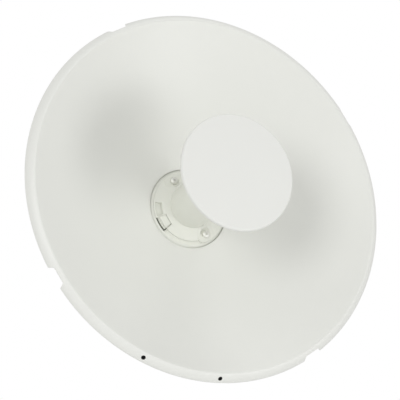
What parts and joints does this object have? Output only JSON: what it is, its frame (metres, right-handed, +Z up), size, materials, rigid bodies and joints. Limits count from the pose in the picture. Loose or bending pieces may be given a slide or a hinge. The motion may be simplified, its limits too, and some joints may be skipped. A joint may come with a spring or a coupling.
{
  "type": "microwave dish antenna",
  "caption": "Round parabolic dish antenna with a centre feed and small front disc, a rear radio housing, and a flat wall or pole bracket that tilts in elevation.",
  "frame": {"origin": "centre of the flat rear face of the mounting bracket, level with the dish's axis", "axes": "+Y is out of the bracket's rear face, towards the wall or pole; the dish looks along -Y; +Z is up; +X is to the right of a person facing the dish"},
  "size_m": [0.471, 0.3051, 0.471],
  "materials": {
    "dish_paint": "satin white powder coat",
    "disc_paint": "satin white paint",
    "feed_plastic": "fine-grained off-white plastic",
    "housing_plastic": "fine-grained light grey plastic",
    "bracket_steel": "galvanised sheet steel",
    "fastener_steel": "zinc plated",
    "rubber": "matte black"
  },
  "bodies": {
    "bracket": {"mount_bracket": "bracket_steel", "pivot_bolt": "fastener_steel", "pivot_nut": "fastener_steel", "pivot_washer_left": "fastener_steel", "pivot_washer_right": "fastener_steel"},
    "dish": {"reflector": "dish_paint", "rear_hub_ring": "dish_paint", "subreflector_cap": "disc_paint", "subreflector_cone": "feed_plastic", "feed_neck": "feed_plastic", "feed_flange": "feed_plastic", "hub_ring": "feed_plastic", "latch_tab": "feed_plastic", "feed_screw_upper": "fastener_steel", "feed_screw_lower": "fastener_steel", "radio_housing": "housing_plastic", "housing_cover": "housing_plastic", "port_cover": "housing_plastic", "cable_grommet": "rubber", "cradle": "bracket_steel", "tilt_channel": "bracket_steel", "foot_bolt_left_upper": "fastener_steel", "foot_bolt_left_lower": "fastener_steel", "foot_bolt_right_upper": "fastener_steel", "foot_bolt_right_lower": "fastener_steel", "web_bolt_upper": "fastener_steel", "web_bolt_lower": "fastener_steel", "lock_bolt": "fastener_steel", "lock_nut": "fastener_steel", "lock_washer_left": "fastener_steel", "lock_washer_right": "fastener_steel"}
  },
  "joints": [
    {"name": "elevation_tilt", "type": "hinge", "parent": "bracket", "child": "dish", "pos_m": [0, -0.048, 0], "axis": [1, 0, 0], "range_deg": [-20, 20]}
  ]
}
